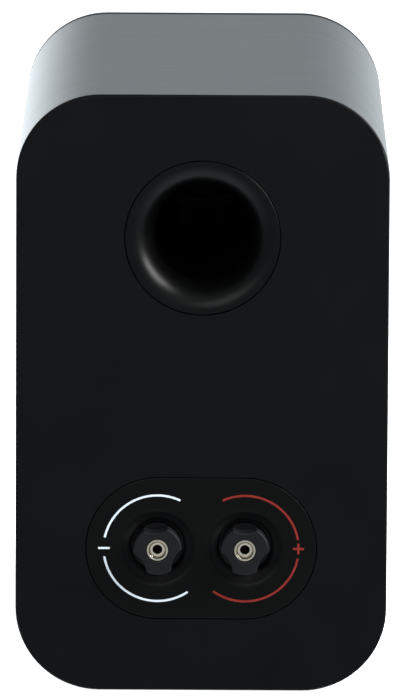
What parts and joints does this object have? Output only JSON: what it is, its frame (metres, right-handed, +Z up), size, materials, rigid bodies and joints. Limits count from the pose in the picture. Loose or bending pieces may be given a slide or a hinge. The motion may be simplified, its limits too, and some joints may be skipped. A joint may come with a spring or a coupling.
{
  "type": "bookshelf speaker",
  "caption": "Two-way rear-ported bookshelf speaker in a round-cornered cabinet, with screw-down banana terminals in a recessed cup and a flared port.",
  "frame": {"origin": "on the floor under the middle of the cabinet, at the bottom centre of the bounding box", "axes": "+Z up; the drivers look along -Y; the port and the terminals are on the +Y face; +X is on the listener's right as the front is looked at"},
  "size_m": [0.17, 0.282, 0.276],
  "materials": {
    "cabinet_wrap": "fibreboard under a satin graphite wrap with a faint brushed streak around the cabinet",
    "panel_black": "fibreboard under a satin black film",
    "raw_fibreboard": "bare fibreboard",
    "wadding": "soft polyester wadding",
    "insert_zinc": "yellow-passivated threaded insert",
    "moulding_black": "satin black moulded plastic",
    "port_black": "smooth satin black moulded plastic",
    "cap_black": "fine-textured dark plastic grip",
    "seal_foam": "closed-cell foam seal",
    "nickel": "nickel-plated brass",
    "zinc_steel": "zinc-plated steel",
    "screw_black": "black-oxide steel",
    "tinned_brass": "tinned brass tag",
    "board_laminate": "green glass-fibre board",
    "nylon": "natural nylon",
    "copper_wire": "enamelled copper winding",
    "capacitor_film": "yellow tape-wrapped film capacitor",
    "capacitor_sleeve": "dark shrink-sleeved electrolytic capacitor",
    "ceramic": "cement-filled ceramic",
    "wire_jacket": "insulated stranded wire",
    "basket_paint": "black painted pressed steel",
    "bezel_metal": "bright turned aluminium",
    "soft_rubber": "soft butyl rubber roll",
    "cone_paper": "coated impregnated paper",
    "dust_cap": "smooth moulded cap",
    "former_aluminium": "thin aluminium former",
    "spider_cloth": "resin-treated cloth",
    "ferrite": "dark grey ferrite",
    "dome_silk": "coated soft dome fabric",
    "laminate_strip": "paper-laminate tag strip"
  },
  "bodies": {
    "cabinet": {"cabinet_shell": "cabinet_wrap", "front_baffle": "panel_black", "rear_panel": "panel_black", "window_brace": "raw_fibreboard", "wadding_pads": "wadding", "stand_inserts": "insert_zinc", "port_flare": "port_black", "port_tube": "port_black", "port_inner_flare": "port_black", "terminal_cup": "moulding_black", "terminal_gasket": "seal_foam", "binding_posts": "nickel", "post_insulators": "moulding_black", "post_nuts": "nickel", "solder_tags": "tinned_brass", "crossover_board": "board_laminate", "board_standoffs": "nylon", "board_screws": "zinc_steel", "board_tabs": "tinned_brass", "inductor_bobbins": "moulding_black", "inductor_windings": "copper_wire", "film_capacitors": "capacitor_film", "electrolytic_capacitor": "capacitor_sleeve", "power_resistors": "ceramic", "woofer_gasket": "seal_foam", "woofer_basket": "basket_paint", "woofer_screws": "screw_black", "woofer_cover_ring": "moulding_black", "woofer_bezel": "bezel_metal", "woofer_surround": "soft_rubber", "woofer_spider": "spider_cloth", "woofer_top_plate": "zinc_steel", "woofer_magnet": "ferrite", "woofer_yoke": "zinc_steel", "woofer_tag_strip": "laminate_strip", "tweeter_gasket": "seal_foam", "tweeter_faceplate": "moulding_black", "tweeter_bezel": "bezel_metal", "tweeter_screws": "screw_black", "tweeter_surround": "soft_rubber", "tweeter_top_plate": "zinc_steel", "tweeter_magnet": "ferrite", "tweeter_yoke": "zinc_steel", "tweeter_rear_chamber": "moulding_black", "tweeter_tags": "tinned_brass", "terminal_leads": "wire_jacket", "woofer_leads": "wire_jacket", "tweeter_leads": "wire_jacket"},
    "negative_washer_slide": {"negative_washer": "cap_black"},
    "negative_screw_cap": {"negative_cap": "cap_black", "negative_bush": "nickel"},
    "positive_washer_slide": {"positive_washer": "cap_black"},
    "positive_screw_cap": {"positive_cap": "cap_black", "positive_bush": "nickel"},
    "woofer_diaphragm": {"woofer_cone": "cone_paper", "woofer_dust_cap": "dust_cap", "woofer_former": "former_aluminium", "woofer_voice_coil": "copper_wire"},
    "tweeter_diaphragm": {"tweeter_dome": "dome_silk", "tweeter_voice_coil": "copper_wire"}
  },
  "joints": [
    {"name": "negative_cap_travel", "type": "slide", "parent": "cabinet", "child": "negative_washer_slide", "axis": [0, 1, 0], "range_m": [0, 0.005]},
    {"name": "negative_cap_turn", "type": "hinge", "parent": "negative_washer_slide", "child": "negative_screw_cap", "pos_m": [0.02, 0.134, 0.0664], "axis": [0, 1, 0], "range_deg": [0, 1800]},
    {"name": "positive_cap_travel", "type": "slide", "parent": "cabinet", "child": "positive_washer_slide", "axis": [0, 1, 0], "range_m": [0, 0.005]},
    {"name": "positive_cap_turn", "type": "hinge", "parent": "positive_washer_slide", "child": "positive_screw_cap", "pos_m": [-0.02, 0.134, 0.0664], "axis": [0, 1, 0], "range_deg": [0, 1800]},
    {"name": "woofer_stroke", "type": "slide", "parent": "cabinet", "child": "woofer_diaphragm", "axis": [0, -1, 0], "range_m": [-0.004, 0.004], "stiffness_N_per_m": 1000, "deforming": ["woofer_surround", "woofer_spider"]},
    {"name": "tweeter_stroke", "type": "slide", "parent": "cabinet", "child": "tweeter_diaphragm", "axis": [0, -1, 0], "range_m": [-0.0005, 0.0005], "stiffness_N_per_m": 400, "deforming": ["tweeter_surround"]}
  ],
  "couplings": [
    {"joint": "negative_cap_turn", "follows": "negative_cap_travel", "rad_per_m": 6283.2},
    {"joint": "positive_cap_turn", "follows": "positive_cap_travel", "rad_per_m": 6283.2}
  ]
}
